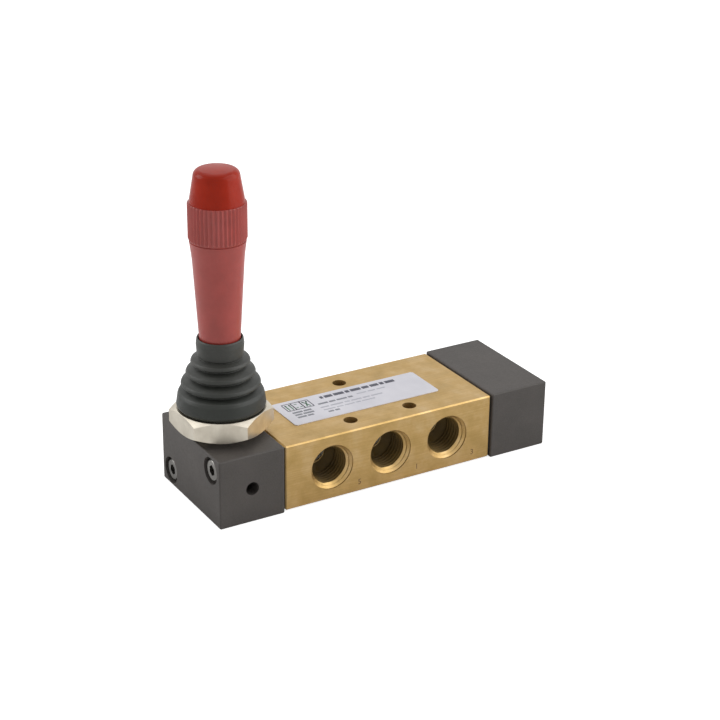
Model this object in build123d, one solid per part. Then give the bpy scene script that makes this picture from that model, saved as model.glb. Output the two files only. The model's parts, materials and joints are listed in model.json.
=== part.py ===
"""Hand lever air valve, five ports and three positions.

A brass body holds a spool in a stack of cages and seals. Two end covers close the bore. The
lever stands in a threaded neck on one cover, turns on a cross pin and drives the spool with its
ball tip. Two opposed springs in the far cover bring spool and lever back to the middle.

Frame: millimetres, origin at the centre of the body's bottom face, X towards the far cover,
-Y towards the three front ports, Z up.
"""
from build123d import *
import math
import os

os.makedirs("parts", exist_ok=True)

# ---- Clearances ---------------------------------------------------------------------------
running = 0.05  # radial, between parts that move on each other
fitted = 0.02  # radial, between parts that are fixed to each other
end_gap = 0.1  # axial, between a part and the stop beside it

# ---- Brass body ---------------------------------------------------------------------------
body_length = 73.0
body_width = 38.0
body_height = 21.2
body_edge = 0.4
bore_d = 15.0

port_pitch = 20.5  # between neighbouring ports on one side
port_thread_d = 13.16  # G1/4
port_thread_depth = 10.0
port_mouth_d = 14.5
port_mouth_step = 0.4  # straight step at the mouth, before its chamfer
port_drill_d = 7.0

mount_hole_d = 4.4
mount_hole_spacing = 21.0
mount_hole_edge = 6.5  # from the body's side to the hole's axis

label_length = 51.4
label_width = 16.2
label_thickness = 0.2
label_x = -1.3
label_corner = 0.6

# ---- End covers and gaskets ---------------------------------------------------------------
lever_cap_length = 21.5
far_cap_length = 20.5
cap_side_step = 0.5  # a cover stands out from the body by this on each side
cap_top_step = 0.4  # and by this above and below it
cap_edge = 0.5
chamber_d = 13.0
lever_chamber_wall = 2.0
vent_d = 4.2  # tapping size of an M5 thread
gasket_thickness = 0.5
gasket_inset = 0.6

# ---- Cover screws, M4 socket head ---------------------------------------------------------
screw_d = 4.0
screw_length = 25.0
screw_head_d = 7.0
screw_head_height = 4.0
screw_hole_d = 4.5
socket_flats = 3.0
socket_depth = 2.0
counterbore_d = 8.4
counterbore_depth = 4.5
screw_side = 13.7  # from the bore's axis, along Y
screw_rise = 6.0  # from the bore's axis, along Z
screw_head_edge = 0.5
drill_beyond_screw = 1.0

# ---- Neck, nut and boot -------------------------------------------------------------------
neck_thread_d = 20.0
neck_shoulder = 1.0  # the spigot in the cover is smaller than the thread by this all round
neck_above_spool = 1.0  # between the spool and the bottom of the neck
neck_inner_d = 14.0
neck_groove_depth = 0.8
neck_groove_width = 1.6
neck_rim = 1.2  # from that groove up to the neck's top
neck_chamfer = 0.8
nut_flats = 27.0
nut_height = 6.3
nut_lift = 1.9  # between the cover and the nut
nut_face_d = 26.8  # flat ring inside the corner chamfers
nut_chamfer_angle = 30.0
nut_turn = 32.5  # where the screwed-down nut comes to rest

boot_lift = 0.3  # between the nut and the boot's foot
boot_base_d = 26.8
boot_base_height = 4.2
boot_base_lean = 0.5  # the base's side leans in by this up to its shoulder
boot_foot_edge = 0.6
boot_foot_rise = 0.9  # height of that edge
boot_ridge_diameters = (24.0, 21.0, 18.0)
boot_first_ridge = 7.3  # from the boot's foot up to the crest of its lowest ridge
boot_ridge_pitch = 3.45
boot_ridge_lean = 0.45  # a ridge leans in by this from its crest up to its shoulder
boot_shoulder_height = 1.0  # from a crest up to its shoulder
boot_groove_depth = 1.9  # in from the crest above the groove
boot_groove_drop = 1.0  # down from the crest above the groove
boot_round = 0.45
boot_neck_d = 13.8
boot_neck_groove_depth = 0.4
boot_lip_d = 14.3
boot_lip_round = 0.4
boot_lip_drop = 2.0  # from the boot's top down to its widest place
boot_neck_start = 2.0  # from the top ridge's crest up to the neck
boot_neck_height = 5.7
boot_lip_thickness = 0.25  # at the boot's top, where its mouth opens round the grip
boot_mouth_play = 0.15  # radial, round the bottom of the grip
boot_wall = 1.3
boot_bead_height = 1.2
boot_room = 0.6  # between the top of the neck and the boot's inside
boot_waist_wall = 0.8  # at the foot of the boot's neck, above the top ridge

# ---- Lever --------------------------------------------------------------------------------
lever_angle = 12.0  # each way from upright
pivot_arm = 14.6  # from the bore's axis up to the pin
pivot_d = 4.0
rod_d = 8.0
ball_d = 6.0
arm_d = 4.0
rod_in_grip = 24.2
rod_chamfer = 1.0

grip_bottom_height = 29.0  # above the lever cover
grip_bottom_d = 12.1
grip_bottom_round = 1.0
grip_waist_d = 15.1
grip_waist_height = 24.8  # above the grip's bottom
grip_flare_d = 16.6
band_height = 11.5
band_d = 17.2
band_start = 31.4  # above the grip's bottom
band_chamfer = 0.5
rib_count = 42
rib_depth = 0.35
rib_crest_share = 0.5  # where a rib's crest stands between two roots

end_cap_base_d = 16.2
end_cap_side_height = 8.05  # of the straight side, up to the rounded shoulder
end_cap_shoulder_d = 13.5  # at the top of that side
end_cap_round = 2.0
end_cap_dome_angle = 6.0  # slope of the domed top where it meets the shoulder
plug_d = 9.0
plug_length = 6.0

# ---- Spool and its stack ------------------------------------------------------------------
spool_d = 10.0
spool_waist_d = 6.4
land_overlap = 1.0  # a land covers a seal's centre by this in the middle position
seal_width = 2.5
cage_bore_play = 0.3
cage_windows = 4
cage_window_width = 3.0
cage_rim = 1.4
tail_beyond_ball = 5.0
tail_flat_beyond_hole = 0.9
tail_wall = 0.5  # room between the spool's last land and the collar's travel
stem_d = 7.0
stem_end_d = 5.0

spring_wire = 0.9
spring_mean_d = 11.2
spring_length = 8.0  # as fitted
spring_turns = 3.0
collar_d = 12.4
collar_thickness = 2.0
clip_thickness = 0.8
clip_d = 8.0
clip_groove_depth = 0.4
clip_gap = 2.4
stem_beyond_clip = 1.2

# ---- Places worked out from the sizes above -----------------------------------------------
bore_z = body_height / 2
body_end = body_length / 2
cap_face = body_end + gasket_thickness  # inner face of each cover, from the middle
lever_x = -(cap_face + lever_cap_length / 2)
cap_top = body_height + cap_top_step
cap_width = body_width + 2 * cap_side_step
cap_height = body_height + 2 * cap_top_step
pivot_z = bore_z + pivot_arm
spool_stroke = pivot_arm * math.sin(math.radians(lever_angle))
chamber_pitch = port_pitch / 2
chamber_steps = (-2, -1, 0, 1, 2)  # places of the five chambers, in chamber pitches
seal_steps = (-2.5, -1.5, -0.5, 0.5, 1.5, 2.5)
cage_length = chamber_pitch - seal_width
stack_end = seal_steps[-1] * chamber_pitch + seal_width / 2
front_port_x = [-port_pitch, 0, port_pitch]
rear_port_x = [-port_pitch / 2, port_pitch / 2]
nut_bottom = cap_top + nut_lift
nut_top = nut_bottom + nut_height
neck_bottom = bore_z + spool_d / 2 + neck_above_spool
neck_spigot_d = neck_thread_d - 2 * neck_shoulder
boot_foot = nut_top + boot_lift
boot_bead_z = boot_foot + boot_wall
neck_groove_z = boot_bead_z - (neck_groove_width - boot_bead_height) / 2
neck_top = neck_groove_z + neck_groove_width + neck_rim
boot_crest_z = [boot_foot + boot_first_ridge + step * boot_ridge_pitch for step in range(3)]
grip_bottom = cap_top + grip_bottom_height
grip_top = grip_bottom + band_start + band_height
grip_slope = (grip_waist_d - grip_bottom_d) / 2 / grip_waist_height
rod_top = grip_bottom + rod_in_grip
collar_x = body_end + spring_length
stem_end_x = collar_x + collar_thickness + clip_thickness + stem_beyond_clip
far_chamber_end = collar_x + collar_thickness + spring_length
screw_places = [(-screw_side, bore_z + screw_rise), (screw_side, bore_z - screw_rise)]


# ---- Small helpers ------------------------------------------------------------------------
def turned(*points):
    """Solid turned about Z from (radius, height) points."""
    outline = Plane.XZ * Polyline(*points, close=True)
    return revolve(make_face(outline), Axis.Z)


def on_bore(solid):
    """Lay a solid that stands on Z along the main bore, with its heights as X."""
    return Pos(0, 0, bore_z) * Rot(0, 90, 0) * solid


def on_lever(solid):
    """Move a solid that stands on Z to the lever's axis."""
    return Pos(lever_x, 0, 0) * solid


def rod_between(low, high, diameter):
    """Cylinder on Z from one height to another."""
    return Pos(0, 0, (low + high) / 2) * Cylinder(diameter / 2, high - low)


def ring_between(low, high, outer_d, inner_d):
    """Plain ring on Z from one height to another."""
    return rod_between(low, high, outer_d) - rod_between(low, high, inner_d)


# ---- Brass body ---------------------------------------------------------------------------
def port_cutter():
    """One port: chamfered mouth on Z = 0, thread bore, then the drilling to the main bore."""
    mouth = (port_mouth_d - port_thread_d) / 2
    cone = (port_thread_d - port_drill_d) / 4
    reach = body_width / 2
    return turned(
        (0, 0),
        (port_mouth_d / 2, 0),
        (port_mouth_d / 2, -port_mouth_step),
        (port_thread_d / 2, -port_mouth_step - mouth),
        (port_thread_d / 2, -port_thread_depth),
        (port_drill_d / 2, -port_thread_depth - cone),
        (port_drill_d / 2, -reach),
        (0, -reach),
    )


def valve_body():
    """Brass block with the main bore, five ports, three mounting holes and the screw holes."""
    block = Pos(0, 0, bore_z) * Box(body_length, body_width, body_height)
    block = chamfer(block.edges(), body_edge)
    block -= on_bore(rod_between(-body_end, body_end, bore_d))
    for x in front_port_x:
        block -= Pos(x, -body_width / 2, bore_z) * Rot(90, 0, 0) * port_cutter()
    for x in rear_port_x:
        block -= Pos(x, body_width / 2, bore_z) * Rot(-90, 0, 0) * port_cutter()
    side = body_width / 2 - mount_hole_edge
    mount_hole = rod_between(0, body_height, mount_hole_d)
    for x, y in [(-mount_hole_spacing / 2, -side), (mount_hole_spacing / 2, -side), (0, side)]:
        block -= Pos(x, y, 0) * mount_hole
    for cap_length, end in [(lever_cap_length, -1), (far_cap_length, 1)]:
        screw_reach = screw_length + counterbore_depth - cap_length - gasket_thickness
        depth = screw_reach + drill_beyond_screw
        for y, z in screw_places:
            hole = Rot(0, 90, 0) * rod_between(-depth, depth, screw_d + 2 * fitted)
            block -= Pos(end * body_end, y, z) * hole
    return block


def label_plate():
    """Thin foil plate on the body's top."""
    plate = Box(label_length, label_width, label_thickness)
    plate = chamfer(plate.edges().filter_by(Axis.Z), label_corner)
    return Pos(label_x, 0, body_height + label_thickness / 2) * plate


# ---- End covers, gaskets and screws -------------------------------------------------------
def cover_block(length, direction):
    """Block of one cover, from the gasket outwards, with its two counterbored screw holes."""
    middle = direction * (cap_face + length / 2)
    block = Pos(middle, 0, bore_z) * Box(length, cap_width, cap_height)
    block = fillet(block.edges(), cap_edge)
    outer = direction * (cap_face + length)
    for y, z in screw_places:
        shank = Rot(0, 90, 0) * Cylinder(screw_hole_d / 2, 2 * length)
        head = Rot(0, 90, 0) * Cylinder(counterbore_d / 2, 2 * counterbore_depth)
        block -= Pos(middle, y, z) * shank
        block -= Pos(outer, y, z) * head
    return block


def lever_end_cap():
    """Cover that carries the lever: spool chamber, seat for the neck and the front vent."""
    outer = cap_face + lever_cap_length
    block = cover_block(lever_cap_length, -1)
    block -= on_bore(rod_between(-(outer - lever_chamber_wall), -cap_face, chamber_d))
    block -= on_lever(rod_between(bore_z, cap_top, neck_inner_d))
    block -= on_lever(rod_between(neck_bottom, cap_top, neck_spigot_d + 2 * fitted))
    vent = Rot(90, 0, 0) * rod_between(0, cap_width / 2, vent_d)
    return block - Pos(lever_x, 0, bore_z) * vent


def far_end_cap():
    """Plain cover over the two centring springs."""
    block = cover_block(far_cap_length, 1)
    return block - on_bore(rod_between(cap_face, far_chamber_end, chamber_d))


def gasket(direction):
    """Flat gasket between the body and one cover."""
    sheet = Box(gasket_thickness, body_width - 2 * gasket_inset, body_height - 2 * gasket_inset)
    sheet = Pos(direction * (body_end + gasket_thickness / 2), 0, bore_z) * sheet
    sheet -= on_bore(Pos(0, 0, direction * body_end) * Cylinder(chamber_d / 2, 4 * gasket_thickness))
    for y, z in screw_places:
        hole = Rot(0, 90, 0) * Cylinder(screw_hole_d / 2, 4 * gasket_thickness)
        sheet -= Pos(direction * body_end, y, z) * hole
    return sheet


def cover_screw():
    """Socket-head screw with its head's underside on Z = 0 and its shank below."""
    socket = RegularPolygon(socket_flats / 2, 6, major_radius=False)
    screw = turned(
        (0, screw_head_height),
        (screw_head_d / 2 - screw_head_edge, screw_head_height),
        (screw_head_d / 2, screw_head_height - screw_head_edge),
        (screw_head_d / 2, 0),
        (screw_d / 2, 0),
        (screw_d / 2, -screw_length),
        (0, -screw_length),
    )
    return screw - Pos(0, 0, screw_head_height - socket_depth) * extrude(socket, socket_depth)


def cover_screws(length, direction):
    """The two screws of one cover."""
    seat = direction * (cap_face + length - counterbore_depth)
    screws = [Pos(seat, y, z) * Rot(0, direction * 90, 0) * cover_screw() for y, z in screw_places]
    return Compound(children=screws)


# ---- Neck, nut, pin and boot --------------------------------------------------------------
def neck_bush():
    """Threaded neck that is seated in the cover and holds the lever's pin."""
    outer = neck_thread_d / 2
    groove_high = neck_groove_z + neck_groove_width
    bush = turned(
        (neck_inner_d / 2, neck_bottom),
        (neck_spigot_d / 2, neck_bottom),
        (neck_spigot_d / 2, cap_top),
        (outer, cap_top),
        (outer, neck_groove_z),
        (outer - neck_groove_depth, neck_groove_z),
        (outer - neck_groove_depth, groove_high),
        (outer, groove_high),
        (outer, neck_top - neck_chamfer),
        (outer - neck_chamfer, neck_top),
        (neck_inner_d / 2, neck_top),
    )
    pin_hole = Pos(0, 0, pivot_z) * Rot(90, 0, 0) * Cylinder(pivot_d / 2 + fitted, 2 * outer)
    return on_lever(bush - pin_hole)


def panel_nut():
    """Hexagon nut on the neck, with chamfered corners."""
    prism = extrude(Rot(0, 0, nut_turn) * RegularPolygon(nut_flats / 2, 6, major_radius=False), nut_height)
    corner = nut_flats / math.sqrt(3) + end_gap
    drop = (corner - nut_face_d / 2) * math.tan(math.radians(nut_chamfer_angle))
    envelope = turned(
        (0, 0),
        (nut_face_d / 2, 0),
        (corner, drop),
        (corner, nut_height - drop),
        (nut_face_d / 2, nut_height),
        (0, nut_height),
    )
    hole = rod_between(0, nut_height, neck_thread_d + 2 * running)
    return on_lever(Pos(0, 0, nut_bottom) * ((prism & envelope) - hole))


def pivot_pin():
    """Cross pin, pressed into the neck."""
    length = neck_thread_d - 2 * neck_groove_depth
    return Pos(lever_x, 0, pivot_z) * Rot(90, 0, 0) * Cylinder(pivot_d / 2, length)


def boot_outside():
    """Points up the boot's outside as (radius, height), and the ones to be rounded."""
    base_r = boot_base_d / 2
    shoulder_r = base_r - boot_base_lean
    shoulder = boot_foot + boot_base_height
    sharp = [(base_r - boot_foot_edge, boot_foot), (base_r, boot_foot + boot_foot_rise)]
    rounded = [(shoulder_r, shoulder), (shoulder_r - boot_base_lean, shoulder + boot_shoulder_height)]
    points = sharp + rounded
    for ridge_d, crest in zip(boot_ridge_diameters, boot_crest_z):
        crest_r = ridge_d / 2
        ridge = [(crest_r, crest), (crest_r - boot_ridge_lean, crest + boot_shoulder_height)]
        points += [(crest_r - boot_groove_depth, crest - boot_groove_drop)] + ridge
        rounded += ridge
    neck_low = boot_crest_z[-1] + boot_neck_start
    neck_high = neck_low + boot_neck_height
    neck_r = boot_neck_d / 2
    points.append((neck_r - boot_neck_groove_depth, neck_low - boot_neck_groove_depth))
    points.append((neck_r, neck_low))
    points.append((boot_lip_d / 2, neck_high - boot_lip_drop))
    points.append((boot_lip_d / 2 - boot_lip_round / 2, neck_high - boot_lip_round))
    points.append((boot_lip_d / 2 - boot_lip_round, neck_high))
    return points, rounded


def boot():
    """Hollow rubber bellows from the neck's groove to the bottom of the grip."""
    outside, rounded = boot_outside()
    neck_high = outside[-1][1]
    neck_low = neck_high - boot_neck_height
    mouth_r = grip_bottom_d / 2 + boot_mouth_play
    neck_r = neck_thread_d / 2 + running
    bead_r = neck_r - neck_groove_depth
    bead_top = boot_bead_z + boot_bead_height
    inside = [
        (boot_lip_d / 2 - boot_lip_round - boot_lip_thickness, neck_high),
        (mouth_r, grip_bottom - boot_wall),
        (boot_neck_d / 2 - boot_neck_groove_depth - boot_waist_wall, neck_low),
        (boot_ridge_diameters[1] / 2 - boot_groove_depth - boot_wall, boot_crest_z[1] - boot_ridge_pitch / 2),
        (neck_r, neck_top + boot_room),
        (neck_r, bead_top),
        (bead_r, bead_top),
        (bead_r, boot_bead_z),
        (neck_r, boot_bead_z),
        (neck_r, boot_foot),
    ]
    profile = make_face(Polyline(*outside, *inside, close=True))
    crests = [v for v in profile.vertices() if any(math.dist((v.X, v.Y), p) < running for p in rounded)]
    profile = fillet(crests, boot_round)
    return on_lever(revolve(Plane.XZ * profile, Axis.Z))


# ---- Lever --------------------------------------------------------------------------------
def lever_rod():
    """Steel lever: ball tip in the spool, tapered arm, pin hole and the rod up into the grip."""
    arm_top = bore_z + ball_d
    rod = turned(
        (0, bore_z),
        (arm_d / 2, bore_z),
        (arm_d / 2, arm_top),
        (rod_d / 2, pivot_z - rod_d / 2),
        (rod_d / 2, rod_top - rod_chamfer),
        (rod_d / 2 - rod_chamfer, rod_top),
        (0, rod_top),
    )
    rod += Pos(0, 0, bore_z) * Sphere(ball_d / 2)
    rod -= Pos(0, 0, pivot_z) * Rot(90, 0, 0) * Cylinder(pivot_d / 2 + running, 2 * rod_d)
    return on_lever(rod)


def ribbed_band():
    """Band of the grip with fine upright ribs all round, and broken edges."""
    low = grip_bottom + band_start
    crest = band_d / 2
    root = crest - rib_depth
    points = []
    for rib in range(rib_count):
        for share, radius in [(0.0, root), (rib_crest_share, crest)]:
            angle = 2 * math.pi * (rib + share) / rib_count
            points.append((radius * math.cos(angle), radius * math.sin(angle)))
    band = Pos(0, 0, low) * extrude(make_face(Polyline(*points, close=True)), band_height)
    envelope = turned(
        (0, low),
        (crest - band_chamfer, low),
        (crest, low + 2 * band_chamfer),
        (crest, grip_top - band_chamfer / 2),
        (crest - band_chamfer / 2, grip_top),
        (0, grip_top),
    )
    return band & envelope


def grip():
    """Red handle: slender taper, flare and ribbed band, bored for the rod and the end cap."""
    waist_z = grip_bottom + grip_waist_height
    band_low = grip_bottom + band_start
    low_r = grip_bottom_d / 2
    waist_r = grip_waist_d / 2
    flare = Spline(
        (waist_r, waist_z),
        (grip_flare_d / 2, band_low),
        tangents=[(grip_slope, 1), (2 * grip_slope, 1)],
    )
    edges = Polyline((waist_r, waist_z), (low_r, grip_bottom), (0, grip_bottom), (0, band_low),
                     (grip_flare_d / 2, band_low))
    handle = revolve(make_face(Plane.XZ * (flare + edges)), Axis.Z)
    handle = fillet(handle.edges().group_by(Axis.Z)[0], grip_bottom_round)
    handle += ribbed_band()
    handle -= rod_between(grip_bottom, rod_top + end_gap, rod_d + 2 * fitted)
    handle -= rod_between(grip_top - plug_length - end_gap, grip_top, plug_d + 2 * fitted)
    return on_lever(handle)


def grip_end_cap():
    """Glossy cap on the grip: a short cone with a rounded shoulder and domed top, and its plug."""
    base = (end_cap_base_d / 2, 0)
    side_top = (end_cap_shoulder_d / 2, end_cap_side_height)
    along_side = (side_top[0] - base[0], side_top[1])
    side_angle = math.degrees(math.atan2(along_side[1], along_side[0]))
    shoulder = JernArc(side_top, along_side, end_cap_round, 180 - end_cap_dome_angle - side_angle)
    dome_start = shoulder @ 1
    dome_rise = dome_start.X * math.tan(math.radians(end_cap_dome_angle / 2))
    top = (0, dome_start.Y + dome_rise)
    dome = TangentArc(dome_start, top, tangent=shoulder % 1)
    sides = Polyline(top, (0, 0), base, side_top)
    cone = revolve(make_face(Plane.XZ * (shoulder + dome + sides)), Axis.Z)
    cap = cone + rod_between(-plug_length, 0, plug_d)
    return on_lever(Pos(0, 0, grip_top) * cap)


# ---- Spool, cages, seals and bushes -------------------------------------------------------
def spool():
    """Spool with three lands, the drive hole for the ball and the stem for the collar."""
    land = spool_d / 2
    waist = spool_waist_d / 2
    inner = chamber_pitch / 2 + land_overlap
    outer = 1.5 * chamber_pitch - land_overlap
    groove_x = collar_x + collar_thickness
    solid = on_bore(turned(
        (0, lever_x - tail_beyond_ball),
        (land, lever_x - tail_beyond_ball),
        (land, -outer),
        (waist, -outer),
        (waist, -inner),
        (land, -inner),
        (land, inner),
        (waist, inner),
        (waist, outer),
        (land, outer),
        (land, body_end - spool_stroke - tail_wall),
        (stem_d / 2, body_end - spool_stroke - tail_wall),
        (stem_d / 2, collar_x),
        (stem_end_d / 2, collar_x),
        (stem_end_d / 2, groove_x),
        (stem_end_d / 2 - clip_groove_depth, groove_x),
        (stem_end_d / 2 - clip_groove_depth, groove_x + clip_thickness),
        (stem_end_d / 2, groove_x + clip_thickness),
        (stem_end_d / 2, stem_end_x),
        (0, stem_end_x),
    ))
    hole_d = ball_d + 2 * running
    half_flat = hole_d / 2 + tail_flat_beyond_hole
    flat_low = bore_z + ball_d / 2
    flat = Box(half_flat + tail_beyond_ball, spool_d, land)
    solid -= Pos(lever_x + (half_flat - tail_beyond_ball) / 2, 0, flat_low + land / 2) * flat
    return solid - on_lever(rod_between(bore_z - ball_d / 2 - running, bore_z + land, hole_d))


def cage(x):
    """Spacer cage round the spool at one port, with windows all round."""
    outer_d = bore_d - 2 * fitted
    half = cage_length / 2
    ring = ring_between(x - half, x + half, outer_d, spool_d + 2 * cage_bore_play)
    window = Box(cage_window_width, bore_d, cage_length - 2 * cage_rim)
    for step in range(cage_windows // 2):
        ring -= Pos(0, 0, x) * Rot(0, 0, step * 360 / cage_windows) * window
    return on_bore(ring)


def seal(x):
    """Spool seal between two cages."""
    half = seal_width / 2
    return on_bore(ring_between(x - half, x + half, bore_d - 2 * fitted, spool_d + 2 * running))


def guide_bush(direction):
    """Bush that closes the bore beside the stack and guides the spool."""
    low, high = sorted([direction * stack_end, direction * body_end])
    return on_bore(ring_between(low, high, bore_d - 2 * fitted, spool_d + 2 * running))


# ---- Centring springs ---------------------------------------------------------------------
def centring_spring(start):
    """Coil spring along the bore from one seat to the next."""
    height = spring_length - spring_wire - 2 * end_gap
    coil = Helix(height / spring_turns, height, spring_mean_d / 2)
    section = Plane(coil @ 0, x_dir=(1, 0, 0), z_dir=coil % 0) * Rectangle(spring_wire, spring_wire)
    wire = sweep(section, path=coil, is_frenet=True)
    return on_bore(Pos(0, 0, start + end_gap + spring_wire / 2) * wire)


def spring_collar():
    """Disc on the spool's stem that the two springs press on."""
    return on_bore(ring_between(collar_x, collar_x + collar_thickness, collar_d, stem_end_d + 2 * fitted))


def collar_clip():
    """Open retaining ring in the stem's groove."""
    low = collar_x + collar_thickness
    inner_d = stem_end_d - 2 * clip_groove_depth + 2 * fitted
    clip = ring_between(low, low + clip_thickness, clip_d, inner_d)
    gap = Box(clip_d, clip_gap, 2 * clip_thickness)
    return on_bore(clip - Pos(clip_d / 2, 0, low) * gap)


# ---- All nodes ----------------------------------------------------------------------------
nodes = {
    "valve_body": valve_body(),
    "label_plate": label_plate(),
    "lever_end_cap": lever_end_cap(),
    "far_end_cap": far_end_cap(),
    "lever_cap_gasket": gasket(-1),
    "far_cap_gasket": gasket(1),
    "lever_cap_screws": cover_screws(lever_cap_length, -1),
    "far_cap_screws": cover_screws(far_cap_length, 1),
    "neck_bush": neck_bush(),
    "panel_nut": panel_nut(),
    "pivot_pin": pivot_pin(),
    "boot": boot(),
    "lever_rod": lever_rod(),
    "grip": grip(),
    "grip_end_cap": grip_end_cap(),
    "spool": spool(),
    "lever_guide_bush": guide_bush(-1),
    "far_guide_bush": guide_bush(1),
    "inner_centring_spring": centring_spring(body_end),
    "outer_centring_spring": centring_spring(collar_x + collar_thickness),
    "spring_collar": spring_collar(),
    "collar_clip": collar_clip(),
}
for number, step in zip((5, 4, 1, 2, 3), chamber_steps):
    nodes[f"port_{number}_cage"] = cage(step * chamber_pitch)
for number, step in enumerate(seal_steps, start=1):
    nodes[f"spool_seal_{number}"] = seal(step * chamber_pitch)

for name, shape in nodes.items():
    export_step(shape, f"parts/{name}.step")
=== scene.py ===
"""Looks of the hand lever air valve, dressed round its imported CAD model.

Places are in metres. Profiles, threads and print are drawn in millimetres and turned by MM.
"""

import json
import math

import bpy
from mathutils import Matrix, Vector


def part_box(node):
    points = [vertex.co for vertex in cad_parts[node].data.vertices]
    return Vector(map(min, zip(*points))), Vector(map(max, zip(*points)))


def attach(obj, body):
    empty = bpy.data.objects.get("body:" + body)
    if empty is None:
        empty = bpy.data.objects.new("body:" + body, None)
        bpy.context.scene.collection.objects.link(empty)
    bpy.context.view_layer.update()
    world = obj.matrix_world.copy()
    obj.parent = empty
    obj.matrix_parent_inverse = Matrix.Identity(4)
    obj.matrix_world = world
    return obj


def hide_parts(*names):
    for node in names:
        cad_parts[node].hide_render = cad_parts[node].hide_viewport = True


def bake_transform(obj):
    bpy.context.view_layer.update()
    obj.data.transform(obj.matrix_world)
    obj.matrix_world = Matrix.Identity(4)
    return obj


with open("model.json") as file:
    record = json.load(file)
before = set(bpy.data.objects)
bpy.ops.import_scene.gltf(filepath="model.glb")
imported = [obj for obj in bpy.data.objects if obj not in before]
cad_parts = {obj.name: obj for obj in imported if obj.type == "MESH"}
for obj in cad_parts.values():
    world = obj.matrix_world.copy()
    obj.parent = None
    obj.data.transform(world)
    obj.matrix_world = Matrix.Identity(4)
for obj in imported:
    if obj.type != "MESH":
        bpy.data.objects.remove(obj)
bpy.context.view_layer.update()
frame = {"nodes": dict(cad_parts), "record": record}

MM = 0.001
VALVE, LEVER, SPOOL_BODY = "valve", "lever", "spool"

# ---- Places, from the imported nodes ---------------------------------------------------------
NECK_LOW, NECK_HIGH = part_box("neck_bush")
LEVER_X = (NECK_LOW[0] + NECK_HIGH[0]) / 2
BOOT_LOW, BOOT_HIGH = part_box("boot")
BODY_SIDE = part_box("valve_body")[1][1]
LABEL_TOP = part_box("label_plate")[1][2]
STAGE_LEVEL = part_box("lever_end_cap")[0][2]
MOUNTS = {mount["name"]: mount for mount in frame["record"]["mounts"]}


# ---- Small helpers -------------------------------------------------------------------------
def srgb(red, green, blue):
    """Linear colour of an 8-bit screen colour."""
    shares = [value / 255 for value in (red, green, blue)]
    return tuple(s / 12.92 if s <= 0.04045 else ((s + 0.055) / 1.055) ** 2.4 for s in shares) + (1.0,)


def mesh_object(name, vertices, faces, material, smooth_angle=40.0):
    """Mesh object from vertices in metres, with edges sharper than smooth_angle kept sharp."""
    mesh = bpy.data.meshes.new(name)
    mesh.from_pydata([tuple(v) for v in vertices], [], faces)
    mesh.validate()
    mesh.shade_smooth()
    mesh.set_sharp_from_angle(angle=math.radians(smooth_angle))
    piece = bpy.data.objects.new(name, mesh)
    bpy.context.collection.objects.link(piece)
    mesh.materials.append(material)
    return piece


def rounded(points, steps=5):
    """Profile with its corners rounded: points are (radius, height, rounding) in mm."""
    longest_share = 0.49
    path = []
    for index, (r, z, rounding) in enumerate(points):
        corner = Vector((r, z))
        if not rounding or index in (0, len(points) - 1):
            path.append(corner)
            continue
        before = Vector(points[index - 1][:2]) - corner
        after = Vector(points[index + 1][:2]) - corner
        reach = rounding / math.tan(before.angle(after) / 2)
        reach = min(reach, before.length * longest_share, after.length * longest_share)
        start = corner + before.normalized() * reach
        end = corner + after.normalized() * reach
        for step in range(steps + 1):
            t = step / steps
            path.append(start * (1 - t) ** 2 + corner * (2 * t * (1 - t)) + end * t ** 2)
    return path


def tube_faces(rings, sides, closed):
    """Quads between rings of vertices, with the last ring joined to the first if closed."""
    faces = []
    for i in range(rings if closed else rings - 1):
        here, there = i * sides, (i + 1) % rings * sides
        for k in range(sides):
            n = (k + 1) % sides
            faces.append((here + k, here + n, there + n, there + k))
    return faces


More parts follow.
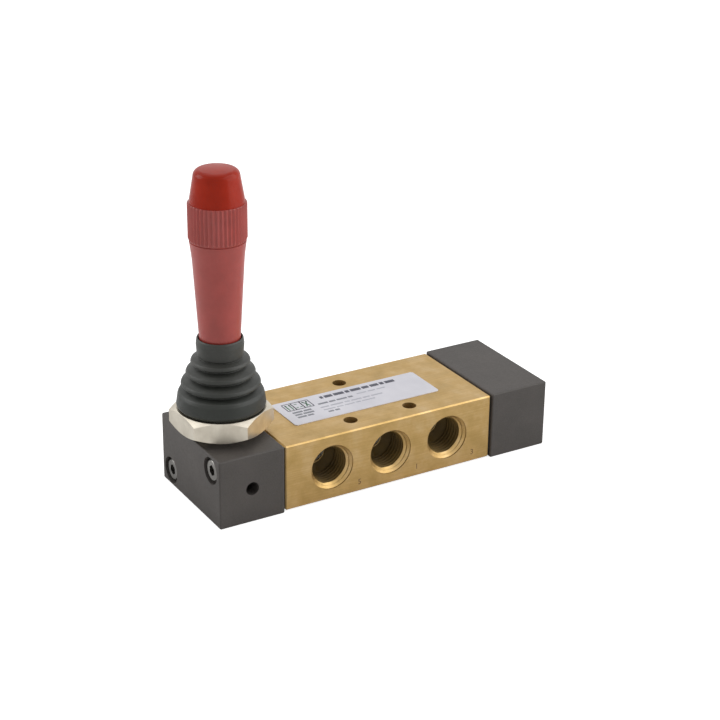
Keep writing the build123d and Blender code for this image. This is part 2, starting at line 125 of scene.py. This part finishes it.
# ---- Materials -----------------------------------------------------------------------------
class Finish:
    """A procedural material, built up node by node round one Principled shader."""

    def __init__(self, name, roughness, metallic=0.0, specular=0.5):
        self.material = bpy.data.materials.new(name)
        self.material.use_nodes = True
        self.nodes = self.material.node_tree.nodes
        self.links = self.material.node_tree.links
        self.shader = self.nodes["Principled BSDF"]
        self.shader.inputs["Metallic"].default_value = metallic
        self.shader.inputs["Roughness"].default_value = roughness
        self.shader.inputs["Specular IOR Level"].default_value = specular
        self.coordinates = self.nodes.new("ShaderNodeTexCoord").outputs["Object"]

    def noise(self, size_mm, stretch=(1, 1, 1), detail=3.0, roughness=0.55):
        """Noise whose grains are about size_mm, stretched along an axis by a factor under 1."""
        mapping = self.nodes.new("ShaderNodeMapping")
        mapping.inputs["Scale"].default_value = stretch
        self.links.new(self.coordinates, mapping.inputs["Vector"])
        texture = self.nodes.new("ShaderNodeTexNoise")
        texture.inputs["Scale"].default_value = 1 / (size_mm * MM)
        texture.inputs["Detail"].default_value = detail
        texture.inputs["Roughness"].default_value = roughness
        self.links.new(mapping.outputs["Vector"], texture.inputs["Vector"])
        return texture.outputs["Fac"]

    def ramp(self, source, *stops):
        """Colour ramp of (position, colour) stops."""
        ramp = self.nodes.new("ShaderNodeValToRGB")
        elements = ramp.color_ramp.elements
        while len(elements) < len(stops):
            elements.new(0.5)
        for element, (position, colour) in zip(elements, stops):
            element.position = position
            element.color = colour
        self.links.new(source, ramp.inputs["Fac"])
        return ramp.outputs["Color"]

    def blend(self, factor, first, second):
        """Mix of two colours by a factor socket."""
        mix = self.nodes.new("ShaderNodeMix")
        mix.data_type = "RGBA"
        for socket, value in ((mix.inputs[6], first), (mix.inputs[7], second)):
            if isinstance(value, tuple):
                socket.default_value = value
            else:
                self.links.new(value, socket)
        self.links.new(factor, mix.inputs[0])
        return mix.outputs[2]

    def span(self, source, low, high, source_low=0.3, source_high=0.7):
        """The source's own range mapped onto low to high: a noise lies mostly in 0.3 to 0.7."""
        node = self.nodes.new("ShaderNodeMapRange")
        node.inputs["From Min"].default_value = source_low
        node.inputs["From Max"].default_value = source_high
        node.inputs["To Min"].default_value = low
        node.inputs["To Max"].default_value = high
        self.links.new(source, node.inputs["Value"])
        return node.outputs["Result"]

    def colour(self, socket):
        """Colour of the surface from a socket."""
        self.links.new(socket, self.shader.inputs["Base Color"])

    def rough(self, socket):
        """Roughness of the surface from a socket."""
        self.links.new(socket, self.shader.inputs["Roughness"])

    def bump(self, *layers):
        """Bump from (height socket, depth in mm) layers."""
        normal = None
        for height, depth in layers:
            node = self.nodes.new("ShaderNodeBump")
            node.inputs["Strength"].default_value = 1.0
            node.inputs["Distance"].default_value = depth * MM
            self.links.new(height, node.inputs["Height"])
            if normal is not None:
                self.links.new(normal, node.inputs["Normal"])
            normal = node.outputs["Normal"]
        self.links.new(normal, self.shader.inputs["Normal"])


def brass_finish():
    """Milled brass with cutter lines along the body and faint patches of tarnish."""
    finish = Finish("brass_milled", 0.42, metallic=0.9)
    patches = finish.noise(9.0, detail=5.0, roughness=0.65)
    tone = finish.ramp(
        patches,
        (0.30, srgb(170, 141, 86)),
        (0.50, srgb(187, 156, 102)),
        (0.70, srgb(200, 172, 126)),
    )
    lines = finish.noise(0.35, stretch=(0.02, 1, 1), detail=2.0)
    finish.colour(finish.blend(finish.span(lines, 0.0, 0.35), tone, srgb(156, 127, 76)))
    finish.rough(finish.span(finish.noise(4.0), 0.36, 0.5))
    finish.bump((lines, 0.006), (finish.noise(1.3), 0.01))
    return finish.material


def cover_finish():
    """Dark matte covers with a fine pale grain."""
    finish = Finish("cover_dark_matte", 0.55, specular=0.45)
    grain = finish.noise(0.5, detail=4.0, roughness=0.7)
    patches = finish.noise(11.0, detail=4.0)
    tone = finish.ramp(patches, (0.3, srgb(54, 50, 47)), (0.7, srgb(66, 61, 58)))
    finish.colour(finish.blend(finish.span(grain, 0.0, 0.35), tone, srgb(86, 82, 78)))
    finish.rough(finish.span(finish.noise(1.2), 0.54, 0.6))
    finish.bump((grain, 0.03))
    return finish.material


def metal_finish(name, dark, light, roughness):
    """Plated or ground steel with fine upright brush lines."""
    finish = Finish(name, roughness, metallic=1.0)
    patches = finish.noise(5.0, detail=4.0)
    finish.colour(finish.ramp(patches, (0.3, dark), (0.7, light)))
    lines = finish.noise(0.3, stretch=(1, 1, 0.04), detail=2.0)
    finish.rough(finish.span(lines, roughness - 0.06, roughness + 0.08))
    finish.bump((lines, 0.004))
    return finish.material


def moulded_finish(name, dark, light, roughness, grain_mm, depth, specular=0.5):
    """Moulded plastic, fibre, print or dark bore brass that is painted shade, with a grain of a size and
    depth in mm.
    """
    finish = Finish(name, roughness, specular=specular)
    patches = finish.noise(7.0, detail=4.0)
    finish.colour(finish.ramp(patches, (0.3, dark), (0.7, light)))
    grain = finish.noise(grain_mm)
    finish.rough(finish.span(finish.noise(2.0), roughness - 0.04, roughness + 0.06))
    finish.bump((grain, depth))
    return finish.material


def print_finish(name, dark, light):
    """Printing ink."""
    return moulded_finish(name, dark, light, roughness=0.5, grain_mm=0.2, depth=0.001)


def rubber_finish():
    """Satin rubber that is a little duller and paler towards the boot's top and darker towards its foot:
    painted light on the upper bellows and painted shade on the lower.
    """
    fade_margin = 4 * MM
    finish = Finish("boot_satin_rubber", 0.46, specular=0.4)
    split = finish.nodes.new("ShaderNodeSeparateXYZ")
    finish.links.new(finish.coordinates, split.inputs[0])
    fade_start, fade_end = BOOT_LOW[2] + fade_margin, BOOT_HIGH[2] - fade_margin
    painted_light_rise = finish.span(split.outputs["Z"], 0.0, 1.0, source_low=fade_start, source_high=fade_end)
    patches = finish.noise(7.0, detail=4.0)
    # The low tones are painted shade on the lower bellows and the high tones are painted light on the
    # upper part, mixed up the boot's height.
    low = finish.ramp(patches, (0.3, srgb(28, 31, 27)), (0.7, srgb(39, 42, 37)))
    high = finish.ramp(patches, (0.3, srgb(46, 47, 43)), (0.7, srgb(58, 58, 54)))
    finish.colour(finish.blend(painted_light_rise, low, high))
    finish.rough(finish.span(finish.noise(2.0), 0.42, 0.52))
    finish.bump((finish.noise(0.35), 0.012))
    return finish.material


def label_finish():
    """Satin foil, brushed along the body."""
    finish = Finish("label_satin_foil", 0.42, metallic=0.3)
    grain = finish.noise(0.25, stretch=(0.03, 1, 1), detail=2.0)
    patches = finish.noise(14.0)
    finish.colour(finish.ramp(patches, (0.3, srgb(197, 196, 203)), (0.7, srgb(212, 211, 217))))
    finish.rough(finish.span(grain, 0.38, 0.48))
    finish.bump((grain, 0.002))
    return finish.material


BRASS = brass_finish()
COVER = cover_finish()
LABEL = label_finish()
NUT = metal_finish("nut_plated", srgb(186, 178, 163), srgb(212, 205, 190), 0.34)
SCREW = metal_finish("screw_zinc", srgb(112, 110, 106), srgb(142, 140, 136), 0.3)
STEEL = metal_finish("steel_ground", srgb(186, 186, 186), srgb(206, 206, 206), 0.26)
SPRING = metal_finish("spring_wire", srgb(150, 150, 152), srgb(176, 176, 178), 0.3)
SPOOL = metal_finish("spool_polished", srgb(205, 205, 208), srgb(222, 222, 224), 0.14)
GASKET = moulded_finish("gasket_fibre", srgb(30, 30, 31), srgb(44, 43, 42), 0.8, 0.2, 0.02)
# The acetal is given a darker tone than its own pale colour. This is painted shade for the cages seen
# deep inside the ports.
ACETAL = moulded_finish("stack_acetal", srgb(158, 152, 138), srgb(176, 171, 158), 0.55, 0.4, 0.005)
SEAL = moulded_finish("seal_nitrile", srgb(32, 32, 34), srgb(42, 42, 44), 0.55, 0.3, 0.006)
RUBBER = rubber_finish()
GRIP_RED = moulded_finish(
    "grip_matte_red", srgb(146, 52, 44), srgb(162, 60, 52), 0.38, 0.3, 0.01, specular=0.6
)
CAP_RED = moulded_finish(
    "cap_gloss_red", srgb(148, 34, 15), srgb(164, 42, 21), 0.2, 1.5, 0.004, specular=0.12
)
# Dark, less shiny brass for the threads and floor deep in the ports: painted shade of the port insides.
BORE_PAINTED_SHADE = moulded_finish(
    "brass_bore_painted_shade", srgb(92, 72, 30), srgb(120, 96, 46), 0.5, 0.6, 0.004, specular=0.2
)
INK = print_finish("print_dark", srgb(58, 58, 70), srgb(72, 72, 84))
INK_PALE = print_finish("print_grey", srgb(112, 114, 122), srgb(134, 136, 142))
INK_FAINT = print_finish("print_faint", srgb(160, 161, 170), srgb(176, 177, 185))
INK_GREEN = print_finish("print_green", srgb(50, 96, 68), srgb(66, 112, 82))
STAMP = moulded_finish("stamped_mark", srgb(96, 70, 40), srgb(112, 84, 48), 0.6, 0.2, 0.002)

SLOT_FINISH = {
    "brass": BRASS,
    "label_foil": LABEL,
    "cover_black": COVER,
    "gasket_fibre": GASKET,
    "screw_steel": SCREW,
    "plated_steel": NUT,
    "bright_steel": STEEL,
    "spring_steel": SPRING,
    "spool_steel": SPOOL,
    "stack_plastic": ACETAL,
    "seal_rubber": SEAL,
    "boot_rubber": RUBBER,
    "grip_red": GRIP_RED,
    "cap_red": CAP_RED,
}

for part in frame["record"]["subparts"]:
    for material_slot in frame["nodes"][part["node"]].material_slots:
        material_slot.material = SLOT_FINISH[part["material_slot"]]


# ---- Rubber boot ---------------------------------------------------------------------------
RIDGES = 3
FIRST_RIDGE_RADIUS, RIDGE_STEP = 12.0, 1.5
FIRST_RIDGE_RISE, RIDGE_PITCH = 7.3, 3.45
VALLEY_DEPTH = 1.9
CUFF_HEIGHT = 5.7
BOOT_SEGMENTS = 144


def boot_profile():
    """Outside and inside of the bellows in mm, with the rounding of each corner."""
    foot = BOOT_LOW[2] / MM
    top = BOOT_HIGH[2] / MM
    base_r = (BOOT_HIGH[0] - BOOT_LOW[0]) / 2 / MM
    cuff_low = top - CUFF_HEIGHT
    outside = [
        (base_r - 0.6, foot, 0.0),
        (base_r, foot + 0.9, 0.5),
        (base_r - 0.5, foot + 4.2, 0.9),
        (base_r - 1.0, foot + 5.2, 0.9),
    ]
    for ridge in range(RIDGES):
        ridge_r = FIRST_RIDGE_RADIUS - RIDGE_STEP * ridge
        crest = foot + FIRST_RIDGE_RISE + RIDGE_PITCH * ridge
        outside.append((ridge_r - VALLEY_DEPTH, crest - 1.0, 0.3))
        outside.append((ridge_r, crest, 0.5))
        outside.append((ridge_r - 0.45, crest + 1.0, 0.6))
    outside += [
        (6.5, cuff_low - 0.4, 0.3),
        (6.9, cuff_low, 0.4),
        (7.15, top - 2.0, 2.0),
        (6.95, top - 0.4, 0.5),
        (6.75, top, 0.1),
    ]
    inside = [
        (6.5, top, 0.1),
        (6.2, top - 2.7, 0.0),
        (5.75, cuff_low, 0.0),
        (7.4, foot + 9.0, 1.0),
        (10.05, foot + 4.5, 0.0),
        (10.05, foot, 0.0),
    ]
    return rounded(outside + inside)


def turned_boot():
    """The bellows, turned about the lever's upright axis."""
    path = boot_profile()
    vertices = []
    for r, z in path:
        for k in range(BOOT_SEGMENTS):
            a = 2 * math.pi * k / BOOT_SEGMENTS
            vertices.append((LEVER_X + r * MM * math.cos(a), r * MM * math.sin(a), z * MM))
    return mesh_object("boot_bellows", vertices, tube_faces(len(path), BOOT_SEGMENTS, True), RUBBER)


boot = turned_boot()
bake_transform(boot)
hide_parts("boot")


# ---- Centring springs ----------------------------------------------------------------------
WIRE_RADIUS = 0.44 * MM
SPRING_CLEARANCE = 0.06 * MM
SPRING_TURNS = 3.0
WIRE_SIDES = 12
WIRE_STEPS = 144


def coil_spring(name, node):
    """Round-wire coil along the bore, in the place of a CAD spring."""
    low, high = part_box(node)
    coil_r = (high[1] - low[1]) / 2 - WIRE_RADIUS - SPRING_CLEARANCE
    centre_y, centre_z = (low[1] + high[1]) / 2, (low[2] + high[2]) / 2
    first, last = low[0] + WIRE_RADIUS, high[0] - WIRE_RADIUS
    vertices = []
    for step in range(WIRE_STEPS + 1):
        share = step / WIRE_STEPS
        turn = 2 * math.pi * SPRING_TURNS * share
        outward = Vector((0, math.cos(turn), math.sin(turn)))
        centre = Vector((first + (last - first) * share, centre_y, centre_z)) + outward * coil_r
        for k in range(WIRE_SIDES):
            a = 2 * math.pi * k / WIRE_SIDES
            sideways = Vector((WIRE_RADIUS * math.sin(a), 0, 0))
            vertices.append(centre + outward * WIRE_RADIUS * math.cos(a) + sideways)
    faces = tube_faces(WIRE_STEPS + 1, WIRE_SIDES, False)
    faces.append(tuple(reversed(range(WIRE_SIDES))))
    faces.append(tuple(WIRE_STEPS * WIRE_SIDES + k for k in range(WIRE_SIDES)))
    spring = mesh_object(name, vertices, faces, SPRING)
    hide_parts(node)
    return spring


inner_spring = coil_spring("inner_spring_coil", "inner_centring_spring")
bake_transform(inner_spring)
outer_spring = coil_spring("outer_spring_coil", "outer_centring_spring")
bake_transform(outer_spring)


# ---- Threads in the ports, in mm -----------------------------------------------------------
THREAD_PITCH = 1.337
THREAD_MAJOR = 6.5
THREAD_MINOR = 5.72
FLANK_SLOPE = 1.5
MOUTH_RADIUS = 7.25
MOUTH_STEP = 0.4
SLEEVE_OUTER = 6.56
SLEEVE_LEAST_WALL = 0.02
SLEEVE_START = MOUTH_STEP + MOUTH_RADIUS - SLEEVE_OUTER
CONE_END = MOUTH_STEP + MOUTH_RADIUS - THREAD_MINOR
THREAD_END = 9.7
PORT_FLOOR_RADIUS = 3.6
PORT_FLOOR_FRONT, PORT_FLOOR_BACK = 11.2, 11.45
SLEEVE_BACK = 9.98
SLEEVE_SEGMENTS, SLEEVE_ROWS = 96, 84


def thread_radius(depth, turn):
    """Inner radius of a G1/4 thread with its lead-in cone, at a depth and a share of a turn."""
    phase = (depth / THREAD_PITCH - turn) % 1.0
    wave = min(1.0, max(0.0, (abs(2 * phase - 1) - 0.5) * FLANK_SLOPE + 0.5))
    thread = THREAD_MINOR + (THREAD_MAJOR - THREAD_MINOR) * wave
    return min(max(thread, MOUTH_RADIUS + MOUTH_STEP - depth), SLEEVE_OUTER - SLEEVE_LEAST_WALL)


def sleeve_rings():
    """Rings of (depth, radii) down the thread, over the conical floor and back up the outside."""
    rings = []
    for row in range(SLEEVE_ROWS):
        depth = SLEEVE_START + (THREAD_END - SLEEVE_START) * row / (SLEEVE_ROWS - 1)
        rings.append((depth, [thread_radius(depth, k / SLEEVE_SEGMENTS) for k in range(SLEEVE_SEGMENTS)]))
    plain_rings = (
        (PORT_FLOOR_FRONT, PORT_FLOOR_RADIUS),
        (PORT_FLOOR_BACK, PORT_FLOOR_RADIUS),
        (SLEEVE_BACK, SLEEVE_OUTER),
        (SLEEVE_START, SLEEVE_OUTER),
    )
    for depth, r in plain_rings:
        rings.append((depth, [r] * SLEEVE_SEGMENTS))
    return rings


def port_sleeve(name, centre, side):
    """Threaded inside of one port, as a thin closed sleeve in the CAD hole."""
    rings = sleeve_rings()
    vertices = []
    for depth, radii in rings:
        y = side * (BODY_SIDE - depth * MM)
        for k, r in enumerate(radii):
            a = 2 * math.pi * k / SLEEVE_SEGMENTS
            vertices.append((centre[0] + r * MM * math.cos(a), y, centre[2] + r * MM * math.sin(a)))
    faces = tube_faces(len(rings), SLEEVE_SEGMENTS, True)
    if side < 0:
        faces = [face[::-1] for face in faces]
    sleeve = mesh_object(name, vertices, faces, BRASS, smooth_angle=50.0)
    sleeve.data.materials.append(BORE_PAINTED_SHADE)
    # Faces deeper than the lead-in cone take the darker brass, which is painted shade inside the port.
    for face in sleeve.data.polygons:
        if BODY_SIDE - side * face.center.y > CONE_END * MM:
            face.material_index = 1
    return sleeve


for port in ("port_5", "port_1", "port_3", "port_4", "port_2"):
    mount = MOUNTS[port]
    sleeve = port_sleeve(port + "_thread", mount["pos_m"], round(mount["axis"][1]))
    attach(sleeve, VALVE)


# ---- Print on the label, in mm -------------------------------------------------------------
INK_HEIGHT = 0.03
INK_SINK = 0.01


def flat_print(name, shapes, material):
    """Thin raised print on the label, from outlines of (x, y) points in mm."""
    low = LABEL_TOP - INK_SINK * MM
    high = LABEL_TOP + INK_HEIGHT * MM
    vertices, faces = [], []
    for outline in shapes:
        first = len(vertices)
        count = len(outline)
        vertices += [(x * MM, y * MM, low) for x, y in outline]
        vertices += [(x * MM, y * MM, high) for x, y in outline]
        faces.append(tuple(first + k for k in reversed(range(count))))
        faces.append(tuple(first + count + k for k in range(count)))
        for k in range(count):
            n = (k + 1) % count
            faces.append((first + k, first + n, first + count + n, first + count + k))
    piece = mesh_object(name, vertices, faces, material)
    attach(piece, VALVE)


def bar(x0, x1, y, thickness):
    """Level line of a given thickness."""
    half = thickness / 2
    return [(x0, y - half), (x1, y - half), (x1, y + half), (x0, y + half)]


def stroke(x0, y0, x1, y1, thickness):
    """Straight line of a given thickness between two points."""
    along = Vector((x1 - x0, y1 - y0)).normalized() * thickness / 2
    across = Vector((-along.y, along.x))
    return [
        (x0 - across.x, y0 - across.y),
        (x1 - across.x, y1 - across.y),
        (x1 + across.x, y1 + across.y),
        (x0 + across.x, y0 + across.y),
    ]


def arrow_head(x, tip_y):
    """Small filled triangle that points along +Y."""
    half_width, height = 0.38, 0.9
    return [(x - half_width, tip_y - height), (x + half_width, tip_y - height), (x, tip_y)]


def box_outline(x0, x1, y0, y1, thickness):
    """Four lines round a rectangle."""
    return [
        bar(x0, x1, y0, thickness),
        bar(x0, x1, y1, thickness),
        stroke(x0, y0, x0, y1, thickness),
        stroke(x1, y0, x1, y1, thickness),
    ]


def bar_row(start, y, thickness, gap, lengths):
    """Bars side by side, in place of a line of print."""
    row = []
    for length in lengths:
        row.append(bar(start, start + length, y, thickness))
        start += length + gap
    return row


def valve_symbol():
    """Standard symbol of a valve with five ports and three positions, as its frames and arrows."""
    left, low, high, cell_width = -24.3, 1.4, 6.2, 3.0
    frame_line, arrow_line, stop_line = 0.3, 0.4, 0.35
    frames, arrows = [], []
    for cell in range(3):
        cell_left = left + cell_width * cell
        frames += box_outline(cell_left, cell_left + cell_width, low, high, frame_line)
        a, b = cell_left + 0.85, cell_left + 2.15
        if cell == 1:
            for x in (a, b):
                arrows.append(bar(x - 0.4, x + 0.4, low + 1.2, stop_line))
            arrows.append(bar(a - 0.1, a + 0.9, high - 1.2, stop_line))
            continue
        for x in (a, b):
            foot_x = x if cell == 0 else a + b - x
            arrows.append(stroke(foot_x, low + 0.5, x, high - 0.8, arrow_line))
            arrows.append(arrow_head(x, high - 0.4))
    return frames, arrows


symbol_frames, symbol_arrows = valve_symbol()
flat_print("label_symbol", symbol_frames, INK)
flat_print("label_symbol_arrows", symbol_arrows, INK_GREEN)

# Rows of bars: start along X, place along Y, thickness, gap and the length of each bar
PRINT_ROWS = (
    ("label_heading", INK, [
        (-11.1, 5.4, 1.6, 0.55, (1.0, 2.8, 3.6, 1.4, 3.6, 2.4, 3.0, 1.4, 3.4)),
    ]),
    ("label_line", INK_PALE, [
        (-13.8, 1.6, 0.9, 0.5, (3.4, 2.2, 3.6, 1.6)),
        (-13.5, -4.5, 0.9, 0.5, (1.8, 1.6)),
    ]),
    ("label_small_lines", INK_FAINT, [
        (0.5, 2.4, 0.6, 0.6, (3.4, 2.6, 3.0)),
        (-14.2, -0.9, 0.7, 0.6, (2.8, 4.4, 1.8, 3.6, 2.4, 4.0)),
        (-14.2, -2.8, 0.6, 0.6, (4.0, 2.2, 3.4, 1.6, 4.6)),
    ]),
    ("label_side_lines", INK_PALE, [
        (-23.8, -0.3, 0.9, 0.5, (3.4, 2.6)),
        (-23.8, -2.0, 0.9, 0.5, (2.4, 3.6)),
        (-23.8, -3.7, 0.9, 0.5, (3.0, 2.0)),
    ]),
)

for name, ink, rows in PRINT_ROWS:
    bars = []
    for row in rows:
        bars += bar_row(*row)
    flat_print(name, bars, ink)


# ---- Stamped port numbers, in mm -----------------------------------------------------------
FIGURE_SIZE = 2.6
FIGURE_RELIEF = 0.02
FIGURE_OFFSET = 9.6
FIGURE_LEVEL = 2.4


def stamped_number(number, side):
    """Small stamped figure on the body's side, low down and to the right of its port."""
    curve = bpy.data.curves.new("figure", "FONT")
    curve.body = str(number)
    curve.size = FIGURE_SIZE * MM
    curve.extrude = FIGURE_RELIEF * MM
    curve.align_x = "CENTER"
    curve.resolution_u = 3
    holder = bpy.data.objects.new("figure", curve)
    mesh = bpy.data.meshes.new_from_object(holder)
    bpy.data.objects.remove(holder)
    turn = Matrix.Rotation(math.pi / 2, 4, "X")
    if side > 0:
        turn = Matrix.Rotation(math.pi, 4, "Z") @ turn
    x = MOUNTS["port_" + str(number)]["pos_m"][0] - side * FIGURE_OFFSET * MM
    mesh.transform(Matrix.Translation((x, side * BODY_SIDE, FIGURE_LEVEL * MM)) @ turn)
    mesh.materials.clear()
    mesh.materials.append(STAMP)
    piece = bpy.data.objects.new("port_figure_" + str(number), mesh)
    bpy.context.collection.objects.link(piece)
    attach(piece, VALVE)


for number, side in ((5, -1), (1, -1), (3, -1), (4, 1), (2, 1)):
    stamped_number(number, side)


# ---- Floor, world, lamps and camera --------------------------------------------------------
def stage_floor(half, seen_grey, seen_glow, plain_grey):
    """Pale floor that glows a little to the camera and is plain to all other rays."""
    corners = [(-half, -half), (half, -half), (half, half), (-half, half)]
    material = bpy.data.materials.new("floor_pale")
    material.use_nodes = True
    nodes = material.node_tree.nodes
    links = material.node_tree.links
    nodes.clear()
    output = nodes.new("ShaderNodeOutputMaterial")
    seen = nodes.new("ShaderNodeBsdfDiffuse")
    seen.inputs["Color"].default_value = (seen_grey, seen_grey, seen_grey, 1)
    glow = nodes.new("ShaderNodeEmission")
    glow.inputs["Strength"].default_value = seen_glow
    lit = nodes.new("ShaderNodeAddShader")
    plain = nodes.new("ShaderNodeBsdfDiffuse")
    plain.inputs["Color"].default_value = (plain_grey, plain_grey, plain_grey, 1)
    path = nodes.new("ShaderNodeLightPath")
    mix = nodes.new("ShaderNodeMixShader")
    links.new(seen.outputs[0], lit.inputs[0])
    links.new(glow.outputs[0], lit.inputs[1])
    links.new(path.outputs["Is Camera Ray"], mix.inputs[0])
    links.new(plain.outputs[0], mix.inputs[1])
    links.new(lit.outputs[0], mix.inputs[2])
    links.new(mix.outputs[0], output.inputs["Surface"])
    floor = mesh_object("floor", [(x, y, STAGE_LEVEL) for x, y in corners], [(0, 1, 2, 3)], material)


def white_world(plain_strength):
    """World that is white where it is seen or mirrored, and gives a plain weaker light."""
    world = bpy.data.worlds.new("studio")
    world.use_nodes = True
    bpy.context.scene.world = world
    nodes = world.node_tree.nodes
    links = world.node_tree.links
    nodes.clear()
    output = nodes.new("ShaderNodeOutputWorld")
    path = nodes.new("ShaderNodeLightPath")
    seen = path.outputs["Is Camera Ray"]
    for ray in ("Is Glossy Ray", "Is Transmission Ray"):
        either = nodes.new("ShaderNodeMath")
        either.operation = "MAXIMUM"
        links.new(seen, either.inputs[0])
        links.new(path.outputs[ray], either.inputs[1])
        seen = either.outputs[0]
    mix = nodes.new("ShaderNodeMixShader")
    links.new(seen, mix.inputs[0])
    for socket, strength in ((mix.inputs[1], plain_strength), (mix.inputs[2], 1.0)):
        background = nodes.new("ShaderNodeBackground")
        background.inputs["Strength"].default_value = strength
        background.inputs["Color"].default_value = (1, 1, 1, 1)
        links.new(background.outputs[0], socket)
    links.new(mix.outputs[0], output.inputs["Surface"])


def soft_lamp(name, place, aim, size, power):
    """Square studio lamp that looks at a point."""
    data = bpy.data.lights.new(name, "AREA")
    data.shape = "SQUARE"
    data.size = size
    data.energy = power
    lamp = bpy.data.objects.new(name, data)
    bpy.context.collection.objects.link(lamp)
    lamp.location = place
    lamp.rotation_euler = (Vector(aim) - Vector(place)).to_track_quat("-Z", "Y").to_euler()


def place_camera(place, azimuth, elevation, roll, lens):
    """Camera at a place, looking along an azimuth and down by an elevation, all in degrees."""
    a, e = math.radians(azimuth), math.radians(elevation)
    forward = Vector((-math.sin(a) * math.cos(e), math.cos(a) * math.cos(e), -math.sin(e)))
    right = forward.cross(Vector((0, 0, 1))).normalized()
    up = right.cross(forward)
    c, s = math.cos(math.radians(roll)), math.sin(math.radians(roll))
    right, up = right * c + up * s, up * c - right * s
    basis = Matrix((right, up, -forward)).transposed().to_4x4()
    data = bpy.data.cameras.new("camera")
    data.sensor_width = 36.0
    data.lens = lens
    camera = bpy.data.objects.new("camera", data)
    bpy.context.collection.objects.link(camera)
    camera.matrix_world = Matrix.Translation(place) @ basis
    bpy.context.scene.camera = camera


LAMP_AIM = (0.0, 0.0, 0.03)
CAMERA_PLACE = (-0.26552, -0.44349, 0.26371)

stage_floor(half=1.0, seen_grey=0.62, seen_glow=0.78, plain_grey=0.96)
white_world(plain_strength=0.35)
soft_lamp("lamp_left", (-0.6, 0.4, 0.4), LAMP_AIM, size=0.5, power=2.7)
soft_lamp("lamp_right", (0.68, -0.49, 0.52), LAMP_AIM, size=1.2, power=8.6)
soft_lamp("lamp_above", (0.0, 0.3, 0.9), LAMP_AIM, size=0.8, power=1.7)
place_camera(CAMERA_PLACE, azimuth=-30.916, elevation=23.963, roll=0.698, lens=91.69)
bpy.context.scene.view_settings.view_transform = "Standard"
